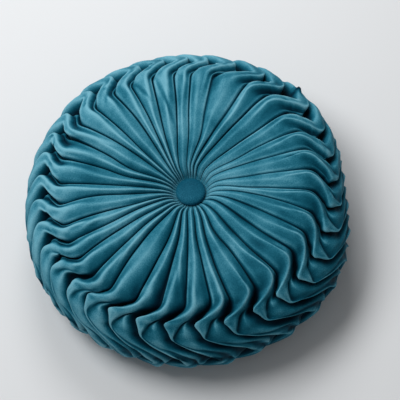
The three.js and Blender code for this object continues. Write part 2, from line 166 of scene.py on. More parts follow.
# %% Sections
LANES = ("valley", "lip", "trough", "crest", "shoulder", "slot", "edge", "hollow")
LANE_COUNT = len(LANES)
FLAT = (0, 0, 0, 0, 0, 0, 0, 0)
SECTIONS = [
    # radius, height, hold, rows, places of the eight lanes, drops of the eight lanes
    (17.0, 101.0, 1.0, 2, FLAT, (0.6, 0.3, 0.1, 0, 0, 0.1, 0.2, 0.4)),
    (20.5, 103.5, 1.0, 3, FLAT, (1.6, 0.6, 0.2, 0, 0, 0.2, 0.5, 1.0)),
    (24.0, 108.5, 1.0, 3, FLAT, (3.0, 1.4, 0.5, 0, 0.2, 0.7, 1.4, 2.2)),
    (31.0, 114.0, 1.0, 4, FLAT, (4.6, 2.0, 0.7, 0, 0.3, 1.1, 2.2, 3.4)),
    (44.0, 119.5, 1.0, 5, FLAT, (6.0, 2.6, 0.9, 0, 0.4, 1.4, 3.0, 4.6)),
    (62.0, 124.0, 1.0, 6, FLAT, (7.2, 3.0, 1.1, 0, 0.5, 1.7, 3.6, 5.5)),
    (84.0, 126.4, 1.0, 6, FLAT, (8.0, 3.2, 1.2, 0, 0.5, 1.8, 3.9, 6.0)),
    (108.0, 127.0, 1.0, 6, FLAT, (8.8, 3.2, 1.4, 0, 0.6, 2.0, 4.3, 6.5)),
    (130.0, 125.8, 1.0, 7, FLAT, (9.6, 4.2, 2.6, 0, 0.9, 3.2, 5.8, 7.8)),
    (148.0, 122.8, 1.0, 8,
     (-0.20, -0.14, -0.07, 0.04, 0.14, 0.30, 0.52, 0.70),
     (10.4, 5.0, 3.6, 0, 1.2, 4.2, 7.2, 9.2)),
    (157.0, 119.8, 0.5, 7,
     (-0.18, -0.13, -0.06, 0.06, 0.17, 0.32, 0.52, 0.70),
     (12, 6.0, 4.0, 0, 1.2, 4.6, 7.8, 10.2)),
    (163.5, 116.5, 0.1, 7,
     (-0.42, -0.36, -0.25, -0.10, 0.06, 0.20, 0.34, 0.48),
     (14, 7.6, 3.6, 0, 1.2, 5.6, 9.0, 11.5)),
    (168.5, 113.0, 0.0, 6,
     (-0.56, -0.57, -0.54, -0.47, -0.08, 0.04, 0.14, 0.28),
     (16, 7.0, 1.6, 0, 1.0, 6.5, 9.5, 13.0)),
    (172.0, 110.8, 0.0, 5,
     (-0.72, -0.79, -0.83, -0.80, -0.26, -0.14, -0.04, 0.08),
     (16, 8.0, 1.6, 0.3, 1.0, 7.0, 8.5, 12.0)),
    (174.5, 108.9, 0.0, 6,
     (-0.88, -0.95, -1.00, -0.98, -0.42, -0.34, -0.24, -0.04),
     (16, 8.0, 1.4, 0.2, 0.8, 6.5, 5.0, 10.5)),
    (178.0, 106.0, 0.0, 7,
     (-0.80, -0.86, -0.91, -0.89, -0.54, -0.44, -0.30, -0.02),
     (16, 8.0, 1.2, 0.2, 0.6, 6.0, 2.4, 9.0)),
    (183.0, 101.2, 0.0, 7,
     (-0.69, -0.75, -0.81, -0.79, -0.64, -0.54, -0.24, 0.06),
     (15, 8.0, 1.2, 0.2, 0.8, 5.0, 1.8, 8.0)),
    (188.0, 94.5, 0.0, 5,
     (-0.58, -0.65, -0.71, -0.70, -0.67, -0.58, -0.12, 0.16),
     (14, 8.0, 1.6, 0.4, 1.2, 3.0, 1.4, 8.0)),
    (190.6, 90.0, 0.0, 6,
     (-0.44, -0.51, -0.57, -0.56, -0.50, -0.36, 0.00, 0.18),
     (14, 8.5, 3.0, 1.2, 1.6, 1.0, 1.8, 9.0)),
    (193.2, 85.0, 0.0, 7,
     (-0.18, -0.25, -0.31, -0.30, -0.18, 0.00, 0.20, 0.40),
     (13, 7.5, 2.0, 0.4, 1.5, 0.6, 2.6, 8.5)),
    (195.6, 79.5, 0.0, 7,
     (0.12, 0.06, 0.01, 0.02, 0.14, 0.30, 0.50, 0.66),
     (12, 6.5, 1.4, 0.2, 1.8, 2.2, 1.6, 8.5)),
    (197.6, 73.0, 0.0, 7,
     (0.46, 0.40, 0.35, 0.36, 0.48, 0.66, 0.88, 1.04),
     (11.5, 6.0, 1.2, 0.1, 2.4, 4.2, 0.9, 8.8)),
    (199.0, 64.0, 0.0, 7,
     (0.72, 0.65, 0.59, 0.60, 0.72, 0.92, 1.14, 1.32),
     (11.5, 5.5, 1.2, 0.0, 2.8, 5.0, 0.6, 9.0)),
    (199.0, 55.0, 0.0, 6,
     (0.84, 0.79, 0.74, 0.76, 0.86, 1.04, 1.22, 1.42),
     (11.5, 5.5, 1.4, 0.0, 2.6, 5.0, 0.9, 8.6)),
    (198.2, 46.0, 0.0, 5,
     (0.74, 0.76, 0.78, 0.84, 0.96, 1.10, 1.28, 1.48),
     (11.5, 6.5, 2.4, 0.0, 1.6, 5.0, 3.0, 9.0)),
    (196.6, 38.0, 0.0, 5,
     (0.40, 0.48, 0.56, 0.64, 0.84, 1.02, 1.16, 1.26),
     (11, 7.0, 4.0, 2.0, 0.4, 0.2, 3.0, 7.0)),
    (193.2, 29.0, 0.0, 5,
     (-0.05, 0.02, 0.12, 0.22, 0.44, 0.70, 0.88, 0.90),
     (10, 7.0, 4.4, 2.8, 1.0, 0.0, 2.0, 6.0)),
    (188.0, 20.0, 0.0, 4,
     (-0.36, -0.28, -0.18, -0.06, 0.14, 0.36, 0.56, 0.60),
     (8, 5.0, 3.2, 1.8, 0.4, 0.0, 1.6, 4.6)),
    (180.0, 11.0, 0.2, 4,
     (-0.44, -0.38, -0.26, -0.10, 0.06, 0.22, 0.38, 0.50),
     (6, 2.8, 1.2, 0.2, 0.0, 0.4, 1.4, 3.2)),
    (168.0, 3.8, 0.7, 3, FLAT, (3.4, 1.4, 0.5, 0.0, 0.0, 0.3, 0.8, 1.8)),
    (158.0, 1.1, 1.0, 3, FLAT, (2.2, 0.9, 0.3, 0.0, 0.0, 0.2, 0.5, 1.1)),
    (148.0, 0.4, 1.0, 4, FLAT, (1.6, 0.6, 0.2, 0.0, 0.0, 0.1, 0.4, 0.8)),
    (115.0, 0.1, 1.0, 4, FLAT, (1.4, 0.5, 0.1, 0.0, 0.0, 0.1, 0.3, 0.7)),
    (78.0, 0.5, 1.0, 4, FLAT, (2.0, 0.7, 0.2, 0.0, 0.0, 0.2, 0.5, 1.0)),
    (58.0, 2.2, 1.0, 4, FLAT, (2.6, 0.9, 0.3, 0.0, 0.0, 0.3, 0.7, 1.3)),
    (38.0, 6.4, 1.0, 4, FLAT, (2.8, 1.0, 0.3, 0.0, 0.0, 0.3, 0.8, 1.5)),
    (25.0, 11.0, 1.0, 3, FLAT, (1.8, 0.6, 0.2, 0.0, 0.0, 0.2, 0.5, 0.9)),
    (17.0, 15.0, 1.0, 0, FLAT, (0.6, 0.2, 0.1, 0.0, 0.0, 0.1, 0.2, 0.3)),
]
print("lanes of a pleat:", LANE_COUNT)

# %% Sections of the right side and the back
SIDE_SECTIONS = [
    # number of the section, places of the eight lanes, drops of the eight lanes
    (7, FLAT, (8.0, 2.8, 1.2, 0, 0.4, 1.5, 3.0, 4.8)),
    (8, FLAT, (8.4, 3.2, 1.8, 0, 0.5, 1.8, 3.4, 5.2)),
    (9, (-0.20, -0.14, -0.07, 0.04, 0.14, 0.30, 0.52, 0.70), (9.0, 3.8, 2.4, 0, 0.6, 2.2, 4.0, 6.0)),
    (10, (-0.18, -0.13, -0.06, 0.06, 0.17, 0.32, 0.52, 0.70), (10.5, 4.6, 3.0, 0, 0.8, 2.8, 4.8, 7.4)),
    (11, (-0.74, -0.62, -0.40, -0.18, -0.02, 0.06, 0.13, 0.20), (12, 7.0, 4.0, 0, 1.8, 5.0, 7.8, 10.0)),
    (12, (-0.88, -0.85, -0.74, -0.63, -0.40, -0.22, -0.06, 0.06), (14, 8.0, 3.0, 0, 1.6, 5.0, 8.2, 11.4)),
    (13, (-1.08, -1.12, -1.12, -1.06, -0.74, -0.52, -0.34, -0.20), (15, 7.5, 1.6, 0.2, 1.4, 4.6, 6.8, 9.6)),
    (14, (-1.22, -1.31, -1.38, -1.36, -0.86, -0.66, -0.52, -0.34), (15, 8.0, 1.4, 0.2, 0.9, 6.0, 4.8, 11.0)),
    (15, (-1.12, -1.20, -1.27, -1.25, -0.92, -0.76, -0.58, -0.26), (15, 8.0, 1.2, 0.2, 0.7, 5.8, 2.6, 9.5)),
    (16, (-1.00, -1.08, -1.15, -1.13, -0.95, -0.84, -0.50, -0.16), (15, 8.0, 1.2, 0.2, 0.8, 4.8, 1.8, 8.5)),
    (17, (-0.82, -0.90, -0.97, -0.96, -0.93, -0.84, -0.36, -0.02), (14, 8.0, 1.6, 0.4, 1.2, 3.0, 1.4, 8.0)),
    (18, (-0.50, -0.57, -0.63, -0.62, -0.54, -0.40, -0.08, 0.12), (14, 8.5, 3.0, 1.2, 1.6, 1.0, 1.8, 9.0)),
]
BACK_SECTIONS = [
    # number of the section, places of the eight lanes, drops of the eight lanes
    (6, FLAT, (7.5, 3.2, 1.4, 0.3, 0, 1.0, 2.4, 4.4)),
    (7, FLAT, (8.2, 3.4, 1.7, 0.3, 0, 1.2, 2.8, 5.0)),
    (8, FLAT, (8.8, 4.0, 3.0, 0.2, 0, 1.3, 3.0, 5.4)),
    (9, (-0.20, -0.14, -0.07, 0.04, 0.14, 0.30, 0.52, 0.70), (10.4, 4.8, 4.6, 0.2, 0, 1.4, 3.2, 6.4)),
    (10, (-0.28, -0.22, -0.08, 0.06, 0.18, 0.34, 0.54, 0.68), (12.5, 5.4, 6.8, 0.4, 0, 1.2, 3.0, 7.4)),
    (11, (-0.60, -0.50, -0.34, -0.12, 0.04, 0.20, 0.40, 0.44), (15, 6.0, 8.6, 0.7, 0, 0.7, 1.8, 9.0)),
    (12, (-0.75, -0.66, -0.50, -0.30, -0.14, 0.04, 0.20, 0.25), (16, 6.4, 10.0, 0.9, 0, 0.4, 1.2, 10.0)),
    (13, (-0.95, -0.82, -0.62, -0.43, -0.26, -0.10, 0.02, 0.05), (16, 6.0, 10.5, 1.0, 0, 0.3, 0.9, 10.0)),
    (14, (-1.05, -0.92, -0.70, -0.54, -0.38, -0.21, -0.08, -0.05), (16, 6.0, 10.0, 1.0, 0, 0.2, 0.8, 10.5)),
    (15, (-1.00, -0.86, -0.76, -0.67, -0.54, -0.40, -0.28, -0.18), (16, 8.0, 8.0, 1.0, 0, 0.3, 1.0, 13.5)),
    (16, (-0.80, -0.77, -0.76, -0.74, -0.62, -0.44, -0.18, -0.08), (16, 10.0, 2.0, 0.2, 0, 0.4, 0.6, 15.0)),
    (17,
     (-0.61, -0.60, -0.60, -0.58, -0.44, -0.20, 0.07, 0.17),
     (16, 9.0, 1.0, -0.8, -1.4, -2.2, -1.6, 14.5)),
    (18,
     (-0.40, -0.41, -0.42, -0.40, -0.26, -0.02, 0.25, 0.36),
     (15, 8.5, 1.4, -0.8, -1.8, -2.8, -2.0, 13.5)),
    (19,
     (-0.16, -0.19, -0.21, -0.19, -0.06, 0.16, 0.44, 0.56),
     (14, 7.5, 1.2, -0.8, -1.8, -2.6, -1.0, 12.0)),
    (20, (0.12, 0.06, 0.01, 0.02, 0.14, 0.34, 0.58, 0.78), (12, 6.5, 1.2, -0.4, -0.6, -0.8, 1.6, 9.5)),
]
print("changed sections, right and back:", len(SIDE_SECTIONS), len(BACK_SECTIONS))

# %% Tables of lanes
ROWS_COLUMN = 3


def lane_values(places, drops):
    """One row of a table of lanes: the places, then the drops in metres."""
    return [*places, *[drop * MM for drop in drops]]


def changed_table(rows):
    """The front's table with some of its sections changed."""
    table = front_table.copy()
    for number, places, drops in rows:
        table[number, :-1] = lane_values(places, drops)
    return table


front_table = np.array([
    [*lane_values(places, drops), hold] for *_, hold, _, places, drops in SECTIONS
])
side_table = changed_table(SIDE_SECTIONS)
back_table = changed_table(BACK_SECTIONS)
row_counts = [section[ROWS_COLUMN] for section in SECTIONS]
print("sections:", len(SECTIONS), "mesh rows:", sum(row_counts) + 1)

# %% [markdown]
# ## Smooth curves between the sections
# A pleat has no steps in it, so every number in the table runs on a smooth curve between
# its sections. The curve is a Hermite spline whose slope at a section is the slope between
# its two neighbours, over the true length of the profile.


# %% Smooth rows
def profile_lengths(points):
    """The distance along a line of points, starting from 0."""
    steps = np.hypot(*np.diff(points, axis=0).T)
    return np.concatenate([[0.0], np.cumsum(steps)])


def smooth_values(at, values, where):
    """Values at the places where, on a smooth curve through the given values."""
    slopes = np.gradient(values, at, axis=0)
    cell = np.clip(np.searchsorted(at, where, side="right") - 1, 0, len(at) - 2)
    width = (at[cell + 1] - at[cell])[:, None]
    t = (where - at[cell])[:, None] / width
    start = (1 + 2 * t) * (1 - t) ** 2
    start_slope = t * (1 - t) ** 2
    end = t ** 2 * (3 - 2 * t)
    end_slope = t ** 2 * (t - 1)
    smooth = start * values[cell] + end * values[cell + 1]
    return smooth + width * (start_slope * slopes[cell] + end_slope * slopes[cell + 1])


def rows_between(section_at, counts):
    """Where the mesh rows lie: evenly between each section and the next."""
    spans = [
        np.linspace(low, high, count, endpoint=False)
        for low, high, count in zip(section_at, section_at[1:], counts)
    ]
    return np.concatenate([*spans, section_at[-1:]])


path = np.array([[radius * MM, height * MM] for radius, height, *_ in SECTIONS])
section_at = profile_lengths(path)
row_at = rows_between(section_at, row_counts)
ROW_COUNT = len(row_at)
row_radius, row_height = smooth_values(section_at, path, row_at).T
tangent = np.gradient(np.stack([row_radius, row_height], axis=1), row_at, axis=0)
tangent /= np.linalg.norm(tangent, axis=1, keepdims=True)
row_normal = np.stack([-tangent[:, 1], tangent[:, 0]], axis=1)
print("length of the cloth from button to button, mm:", round(row_at[-1] / MM))

# %% [markdown]
# ## Lanes of every pleat
# The lanes of each pleat are worked out row by row: on the face between the creases of the
# table, round the rim from the stitches. Hand work varies, so each pleat's stitches sit a
# little off the line and a little round from their mark.

# %% Play of the hand
SEED = 7
PLACE_SPREAD = 0.035
STITCH_SPREAD = 1.2 * MM
DEPTH_RANGE = (0.9, 1.1)
LANE_PLACE_SPREAD = 0.016
LANE_DROP_SPREAD = 0.35 * MM
PLAY_SECTIONS = (9, 29)
LOW_RIM_SECTIONS = (21, 26)
LOW_RIM_PLAY = 2.4


def hand_play():
    """Small random differences of one fold from the next, from a fixed seed."""
    rng = np.random.default_rng(SEED)
    places = rng.normal(0.0, PLACE_SPREAD, PLEAT_COUNT)
    stitches = rng.normal(0.0, STITCH_SPREAD, PLEAT_COUNT)
    depths = rng.uniform(*DEPTH_RANGE, PLEAT_COUNT)
    lanes = rng.normal(0.0, 1.0, (PLEAT_COUNT, len(SECTIONS), 2 * LANE_COUNT))
    lanes[:, :, :LANE_COUNT] *= LANE_PLACE_SPREAD
    lanes[:, :, LANE_COUNT:] *= LANE_DROP_SPREAD
    lanes[:, slice(*LOW_RIM_SECTIONS)] *= LOW_RIM_PLAY
    lanes[:, :PLAY_SECTIONS[0]] = 0.0
    lanes[:, PLAY_SECTIONS[1]:] = 0.0
    return places, np.clip(stitches, -2 * STITCH_SPREAD, 2 * STITCH_SPREAD), depths, lanes


place_play, stitch_play, depth_play, lane_play = hand_play()
print("largest play of a stitch, mm:", round(float(np.abs(stitch_play).max() / MM), 1))


# %% Smooth steps
def eased(low, high, value):
    """0 below low, 1 above high and a smooth rise between them."""
    t = np.clip((value - low) / (high - low), 0.0, 1.0)
    return t * t * (3 - 2 * t)


def after(angles):
    """The same angles of the pleat that comes next round the rim."""
    moved = np.roll(angles, -1, axis=-1)
    moved[..., -1] += FULL_TURN
    return moved


def round_rim(angles, table):
    """Values of a table of angles and values, joined smoothly round the rim."""
    knots = np.concatenate([table[:, 0] - FULL_TURN, table[:, 0], table[:, 0] + FULL_TURN])
    values = np.tile(table[:, 1], 3)[:, None]
    where = np.mod(np.asarray(angles, float).ravel(), FULL_TURN)
    return smooth_values(knots, values, where).reshape(np.shape(angles))


# %% [markdown]
# ## Creases on the face
# The button is drawn down a few millimetres off the middle. Near it the pleats run to the
# button's middle, so the measured angle of a crease is turned to that middle first.

# %% Creases
BUTTON_SHIFT = (5.0 * MM, -0.6 * MM)
BUTTON_EDGE = 17.0 * MM
SHIFT_END = 75.0 * MM


def middle_shift(radius):
    """How far the pleats' middle has moved towards the button at a radius: x and y."""
    share = 1 - eased(BUTTON_EDGE, SHIFT_END, radius)
    return BUTTON_SHIFT[0] * share, BUTTON_SHIFT[1] * share


def about_shifted_middle(radius, angle):
    """The angle of a measured point seen from the shifted middle of its ring."""
    shift_x, shift_y = middle_shift(radius)
    x = radius * math.sin(math.radians(angle)) - shift_x
    y = radius * math.cos(math.radians(angle)) + shift_y
    turned = math.degrees(math.atan2(x, y))
    return turned + FULL_TURN * round((angle - turned) / FULL_TURN)


def crease_lines():
    """The angle of each pleat's crease at every row, from the table of pleats."""
    within = np.clip(row_radius, CREASE_RADII[0], CREASE_RADII[-1])
    lines = []
    for measured in crease_angle:
        angles = smooth_values(CREASE_RADII, measured[::-1, None], within)[:, 0]
        lines.append([about_shifted_middle(radius, angle) for radius, angle in zip(within, angles)])
    return np.array(lines).T


creases = crease_lines()
print("crease lines: rows and pleats", creases.shape)

# %% Lanes on the face
TIP_TO_RIDGE = 10.0
RIDGE_MARGIN = 0.24
RIDGE_MIDDLE = 0.46
SKEW_START = 95.0 * MM
LEFT_SHARES = (0.0, 0.13, 0.52)
RIGHT_SHARES = (0.24, 0.48, 0.73, 0.90)


def face_crests(creases):
    """The angle of each pleat's crest where it follows the creases."""
    width = after(creases) - creases
    kept = np.clip((tip_angle + TIP_TO_RIDGE - creases) / width, RIDGE_MARGIN, 1 - RIDGE_MARGIN)
    skew = eased(SKEW_START, CREASE_RADII[-1], row_radius)[:, None]
    return creases + width * (RIDGE_MIDDLE + (kept - RIDGE_MIDDLE) * skew)


def face_lanes(creases, crests):
    """The angles of the lanes between the creases and the crests: row, pleat, lane."""
    next_creases = after(creases)
    lanes = [creases + (crests - creases) * share for share in LEFT_SHARES]
    lanes += [crests]
    lanes += [crests + (next_creases - crests) * share for share in RIGHT_SHARES]
    return np.stack(lanes, axis=-1)


ridge_angles = face_crests(creases)
print("ridges on the face:", ridge_angles.shape[1])

# %% [markdown]
# ## Folds that change round the rim
# The sewer pulled some straps longer than others and let them lean, and the form of a fold
# changes slowly round the rim. Short tables by angle say how much.

# %% How the folds change round the rim
# angle from the front, how long the strap is beside the shortest ones
STRAP_LENGTHS = np.array([
    (0, 1.1), (40, 1.25), (70, 1.4), (110, 1.35), (140, 1.1), (165, 1.0), (230, 1.0), (330, 1.0),
])
# angle from the front, how far the folds have the form of the right side
SIDE_SHARES = np.array([
    (0, 0.6), (12, 0.75), (25, 1.0), (60, 1.0), (90, 0.85), (115, 0.6), (140, 0.25), (180, 0.0),
    (300, 0.0), (348, 0.25),
])
# angle from the front, how far the folds have the form of the back
BACK_SHARES = np.array([
    (0, 0.0), (60, 0.0), (80, 0.25), (97, 0.7), (112, 1.0), (145, 1.0), (225, 1.0), (262, 1.0),
    (285, 0.75), (305, 0.35), (325, 0.0),
])
# angle from the front, how much further the straps lean than in the tables, in pleats
LEANS = np.array([
    (0, 0.0), (60, 0.0), (90, -0.12), (115, -0.20), (140, -0.12), (165, -0.10), (185, -0.05),
    (205, 0.06), (225, 0.10), (250, 0.0), (300, 0.0),
])


def angle_share(angle, table):
    """The value of a table of angles at one angle, kept between 0 and 1."""
    return float(np.clip(round_rim(angle, table), 0.0, 1.0))


def lane_table_at(pleat):
    """The table of lanes for one pleat, between the forms of the front, the side and the back."""
    side = angle_share(tip_angle[pleat], SIDE_SHARES)
    back = angle_share(tip_angle[pleat], BACK_SHARES)
    table = front_table + (side_table - front_table) * side
    table += (back_table - table) * back
    table[:, :-1] += lane_play[pleat]
    return table


print("longest strap beside the shortest:", STRAP_LENGTHS[:, 1].max())

# %% Lanes at the stitches
NECK_START = 10.0
NECK_END = 12.3
FAN_CORNER = 14
UNDER_START = 27.0
UNDER_END = 29.5
STITCH_RADII = (140.0 * MM, 165.0 * MM)
STITCH_HEIGHTS = (30.0 * MM, 70.0 * MM)
STRAP_END_RADII = (184.0 * MM, 194.0 * MM)
BUTTON_SIDE_RADII = (60.0 * MM, 110.0 * MM)


def stitched_lanes():
    """The lanes' angles and drops where they follow the stitches: row, pleat, lane."""
    near_rim = eased(*STITCH_RADII, row_radius) * eased(*STITCH_HEIGHTS, row_height)
    at_straps = near_rim * (1 - eased(*STRAP_END_RADII, row_radius))
    face_share = 1 - eased(*BUTTON_SIDE_RADII, row_radius)[:, None]
    before_corner = np.maximum(section_at[FAN_CORNER] - row_at, 0.0)
    numbers = np.arange(len(section_at))
    places, drops, holds, reaches = [], [], [], []
    for pleat in range(PLEAT_COUNT):
        length = float(round_rim(tip_angle[pleat], STRAP_LENGTHS))
        lean = float(round_rim(tip_angle[pleat], LEANS)) * at_straps
        lane_table = lane_table_at(pleat)
        sampled = row_at + before_corner * (1 - 1 / length) + stitch_play[pleat] * near_rim
        values = smooth_values(section_at, lane_table, np.clip(sampled, 0.0, row_at[-1]))
        plain = smooth_values(section_at, lane_table, row_at)
        moved = values[:, :LANE_COUNT] + place_play[pleat] + lean[:, None]
        places.append(tip_angle[pleat] + TIP_TO_RIDGE + moved * MEAN_PITCH)
        near, far = plain[:, LANE_COUNT:-1], values[:, LANE_COUNT:-1]
        drops.append(far + (near - far) * face_share)
        holds.append(np.clip(values[:, -1], 0.0, 1.0))
        from_neck = np.interp(sampled, section_at, numbers)
        on_top = 1 - eased(NECK_START, NECK_END, from_neck)
        underneath = eased(UNDER_START, UNDER_END, from_neck)
        reaches.append(on_top + underneath)
    return tuple(np.stack(values, axis=1) for values in (places, drops, holds, reaches))


stitched_angles, stitched_drops, hold, reach = stitched_lanes()
print("deepest crease, mm:", round(float(stitched_drops.max() / MM), 1))

# %% Join the face and the rim
RIM_DEPTH_FLOOR = 0.8
CREST = LANES.index("crest")
stitched_crests = stitched_angles[:, :, CREST]
crests = stitched_crests + (ridge_angles - stitched_crests) * hold
lane_angles = stitched_angles + (face_lanes(creases, crests) - stitched_angles) * reach[:, :, None]
rim_depth = RIM_DEPTH_FLOOR + (1 - RIM_DEPTH_FLOOR) * crease_depth
pleat_depth = (rim_depth + (crease_depth - rim_depth) * hold) * depth_play
lane_drops = stitched_drops * pleat_depth[:, :, None]
print("deepest crease with its play, mm:", round(float(lane_drops.max() / MM), 1))

# %% [markdown]
# ## Soft turns
# Cloth has no kinks along a fold, so the lanes are rounded along the rows: over two or three
# millimetres in general, and over more at the necks, where the straps leave the face.

# %% Round the kinks
NECK_RISE_RADII = (138.0 * MM, 152.0 * MM)
NECK_FALL_RADII = (163.0 * MM, 172.0 * MM)
ANGLE_ROUNDING = (2.4 * MM, 4.2 * MM)
DROP_ROUNDING = (1.6 * MM, 0.8 * MM)


def eased_rows(values, lengths):
    """The same lanes with every kink along the rows rounded over about the rows' lengths."""
    apart = (row_at[:, None] - row_at) / lengths[:, None]
    weights = np.exp(-(apart ** 2) / 2) * np.gradient(row_at)
    weights /= weights.sum(axis=1, keepdims=True)
    return np.tensordot(weights, values, axes=1)


on_face = row_height > row_height.mean()
at_neck = eased(*NECK_RISE_RADII, row_radius) * (1 - eased(*NECK_FALL_RADII, row_radius)) * on_face
lane_angles = eased_rows(lane_angles, ANGLE_ROUNDING[0] + ANGLE_ROUNDING[1] * at_neck)
lane_drops = eased_rows(lane_drops, DROP_ROUNDING[0] + DROP_ROUNDING[1] * at_neck)
print("lanes: rows, pleats and lanes", lane_angles.shape)

# %% [markdown]
# ## Across a pleat
# The lanes of a pleat end at the next pleat's valley. A strip never passes its neighbour's
# lip, so its edge and hollow are kept a little before it. Fifteen mesh columns cross the
# pleat on a smooth curve through the lanes, with a sharp corner left at each valley. The face
# also has small folds that end before they reach the button or the rim. Each is a low ridge
# or a groove laid over the columns.

# %% Columns
COLUMN_LANES = np.array([
    0.0, 0.6, 1.2, 1.8, 2.4, 3.0, 3.4, 3.8, 4.25, 4.8, 5.4, 5.9, 6.4, 6.9, 7.45,
])
NEXT_GAP = 0.05
EDGE = LANES.index("edge")


def closed_lanes(angles, drops):
    """The lanes with the next pleat's valley added at the end."""
    next_valley = after(angles[:, :, 0])[..., None]
    limit = next_valley - NEXT_GAP * MEAN_PITCH
    kept, held = angles[..., :EDGE], np.minimum(angles[..., EDGE:], limit)
    angles = np.concatenate([kept, held], axis=-1)
    next_drop = np.roll(drops[:, :, 0], -1, axis=1)[..., None]
    drops = np.concatenate([drops, next_drop], axis=-1)
    return np.concatenate([angles, next_valley], axis=-1), drops


def column_mixtures():
    """For each column, the shares of the nine lanes that make it."""
    lane_numbers = np.arange(LANE_COUNT + 1, dtype=float)
    return smooth_values(lane_numbers, np.eye(len(lane_numbers)), COLUMN_LANES)


mixtures = column_mixtures()
lane_angles, lane_drops = closed_lanes(lane_angles, lane_drops)
column_angles = lane_angles @ mixtures.T
column_drops = lane_drops @ mixtures.T
print("grid of the cover: rows, pleats and columns", column_angles.shape)

# %% Small folds
SMALL_FOLDS = [
    # start angle, start radius, end angle, end radius, height in millimetres, width in degrees
    (28, 96, 28, 150, 0.9, 1.1),
    (42, 96, 42, 130, -1.0, 1.1),
    (38, 122, 39.5, 150, 0.9, 1.1),
    (15.5, 96, 18, 150, 0.9, 1.1),
    (50.5, 110, 50.5, 138, 0.8, 1.2),
    (68, 116, 64, 156, 0.8, 1.2),
    (76, 122, 71, 160, -0.8, 1.2),
    (86, 110, 84, 150, 0.8, 1.2),
    (96.5, 118, 96.5, 152, 0.8, 1.2),
    (100, 128, 97, 158, -0.8, 1.0),
    (109, 118, 107, 156, 0.8, 1.2),
    (118, 126, 114, 160, 0.8, 1.2),
    (131, 118, 128, 156, -0.8, 1.2),
    (157, 130, 157, 156, 0.9, 1.2),
    (168.5, 112, 168.5, 152, 0.9, 1.2),
    (184, 80, 189, 155, -1.0, 1.1),
    (195, 125, 199, 156, -1.0, 1.1),
    (215, 146, 210, 166, -1.1, 1.1),
    (232, 98, 235, 150, 1.0, 1.1),
    (243, 108, 243, 150, 1.0, 1.1),
    (287, 108, 289, 140, 1.0, 1.1),
    (316, 100, 318, 146, 0.8, 1.1),
    (351, 90, 352, 140, 0.8, 1.1),
]
FOLD_FADE = 12.0 * MM


def small_folds(angles):
    """How far the small folds lower the cover at each point of the grid."""
    total = np.zeros_like(angles)
    for start, start_radius, end, end_radius, height, width in SMALL_FOLDS:
        first, last = start_radius * MM, end_radius * MM
        share = np.clip((row_radius - first) / (last - first), 0.0, 1.0)
        line = (start + (end - start) * share)[:, None, None]
        rise = eased(first - FOLD_FADE, first + FOLD_FADE, row_radius)
        fall = 1 - eased(last - FOLD_FADE, last + FOLD_FADE, row_radius)
        apart = np.mod(angles - line + FULL_TURN / 2, FULL_TURN) - FULL_TURN / 2
        strength = (rise * fall * on_face)[:, None, None]
        total -= height * MM * strength * np.exp(-((apart / width) ** 2))
    return total


column_drops += small_folds(column_angles)
# how high each point stands in its fold, 0 at the deepest; the colour turns low points into painted shade
deepest = column_drops.max(axis=(1, 2), keepdims=True)
fold_heights = 1 - np.clip(column_drops / deepest, 0.0, 1.0)
print("small folds:", len(SMALL_FOLDS))

# %% [markdown]
# ## Not quite round
# Filling never packs evenly, so the outline bulges here and there, and the button is not
# drawn down quite in the middle. Both were measured on the photo. The bulge is in
# millimetres, by angle from the front, at the stitches and at the widest part.

# %% Bulges
BULGES = np.array([
    # angle, at the stitches, at the widest part
    (0, 0.0, 2.4),
    (30, 0.0, 3.0),
    (60, 0.0, 4.5),
    (90, 0.0, -5.0),
    (120, 1.0, 6.0),
    (150, 3.0, 6.6),
    (180, 4.0, 5.0),
    (210, 4.0, 6.4),
    (240, 1.0, 2.0),
    (270, -4.0, 0.0),
    (300, -2.0, 3.6),
    (330, 0.0, 2.4),
])
BULGE_START = 90.0 * MM
FIRST_STITCHES = 172.0 * MM
WIDEST = 196.0 * MM


def bulge(angles):
    """How far the cover's rows move outwards at each angle, for a grid of rows."""
    at_stitches = round_rim(angles, BULGES[:, [0, 1]]) * MM
    at_widest = round_rim(angles, BULGES[:, [0, 2]]) * MM
    over_rim = eased(FIRST_STITCHES, WIDEST, row_radius)[:, None]
    wide = at_stitches + (at_widest - at_stitches) * over_rim
    return wide * eased(BULGE_START, FIRST_STITCHES, row_radius)[:, None]


print("largest bulge, mm:", BULGES[:, 1:].max())

# %% [markdown]
# ## The cover's mesh
# The grid closes on itself round the rim, and a small fan under each button closes it at
# the ends.


# %% Mesh builders
def mesh_object(name, points, faces):
    """A smooth-shaded mesh object from points and faces."""
    mesh = bpy.data.meshes.new(name)
    mesh.from_pydata(points, [], faces)
    mesh.polygons.foreach_set("use_smooth", np.ones(len(mesh.polygons), bool))
    mesh.update()
    made = bpy.data.objects.new(name, mesh)
    bpy.context.scene.collection.objects.link(made)
    return made


def ring_faces(ring_count, ring_size):
    """Quads between rings that run counter-clockwise seen from above, outwards from the middle."""
    step = np.arange(ring_size)
    following = (step + 1) % ring_size
    quads = []
    for ring in range(ring_count - 1):
        here = ring * ring_size
        there = here + ring_size
        corners = [here + step, there + step, there + following, here + following]
        quads.append(np.stack(corners, axis=1))
    return np.concatenate(quads)


print("points across one ring of the cover:", column_angles[0].size)

# %% [markdown]
# ## A lifted tip
# The photo shows a small dark speck at the outline, at the back right. It reads as the tip of
# one fold that stands up with its dark side to the camera.

# %% A lifted tip
# The tip's colour value is also taken down to 0: its dark side is painted shade.
TIP_ANGLE = 130.6
TIP_RADIUS = 188.5 * MM
TIP_REACH = 2.6 * MM
TIP_RISE = 6.5 * MM
FAR_AWAY = 1.0


